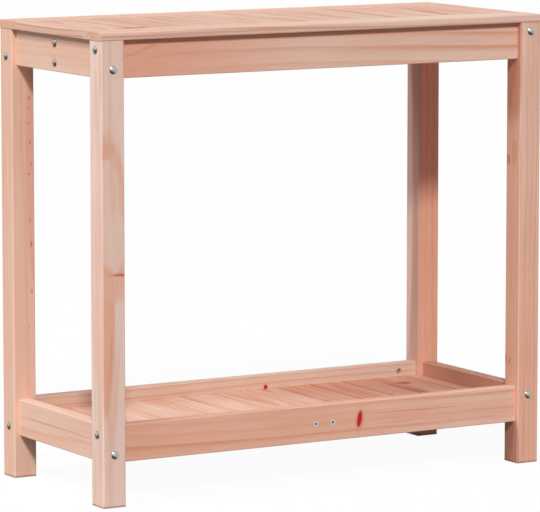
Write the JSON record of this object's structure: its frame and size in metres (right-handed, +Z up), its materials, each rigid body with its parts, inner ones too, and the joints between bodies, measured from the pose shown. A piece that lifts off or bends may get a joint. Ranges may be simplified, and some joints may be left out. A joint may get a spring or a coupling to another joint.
{
  "type": "potting bench",
  "caption": "Free-standing wooden potting bench: a boarded top on four square bolted legs, with a boarded, rail-edged shelf near the ground.",
  "frame": {"origin": "on the ground, in the middle of the bench's plan outline", "axes": "+X along the bench to the right, -Y to the front where the user stands, +Z up"},
  "size_m": [0.8292, 0.3542, 0.75],
  "materials": {
    "wood": "planed, untreated softwood, satin to matte",
    "steel": "bright zinc-plated steel"
  },
  "bodies": {
    "root": {"leg_front_left": "wood", "leg_front_right": "wood", "leg_back_left": "wood", "leg_back_right": "wood", "apron_front": "wood", "apron_back": "wood", "apron_left": "wood", "apron_right": "wood", "middle_bearer": "wood", "top_border_front": "wood", "top_border_back": "wood", "top_board_01": "wood", "top_board_02": "wood", "top_board_03": "wood", "top_board_04": "wood", "top_board_05": "wood", "top_board_06": "wood", "top_board_07": "wood", "top_board_08": "wood", "top_board_09": "wood", "top_board_10": "wood", "top_board_11": "wood", "top_board_12": "wood", "top_board_13": "wood", "shelf_rail_front": "wood", "shelf_rail_back": "wood", "shelf_rail_left": "wood", "shelf_rail_right": "wood", "shelf_board_01": "wood", "shelf_board_02": "wood", "shelf_board_03": "wood", "shelf_board_04": "wood", "shelf_board_05": "wood", "shelf_board_06": "wood", "shelf_board_07": "wood", "shelf_board_08": "wood", "shelf_board_09": "wood", "shelf_board_10": "wood", "shelf_board_11": "wood", "shelf_board_12": "wood", "shelf_board_13": "wood", "leg_bolts": "steel", "leg_barrel_nuts": "steel", "leg_dowels": "wood", "bearer_bolts": "steel", "bearer_barrel_nuts": "steel", "shelf_screws": "steel", "top_screws": "steel"}
  },
  "joints": []
}
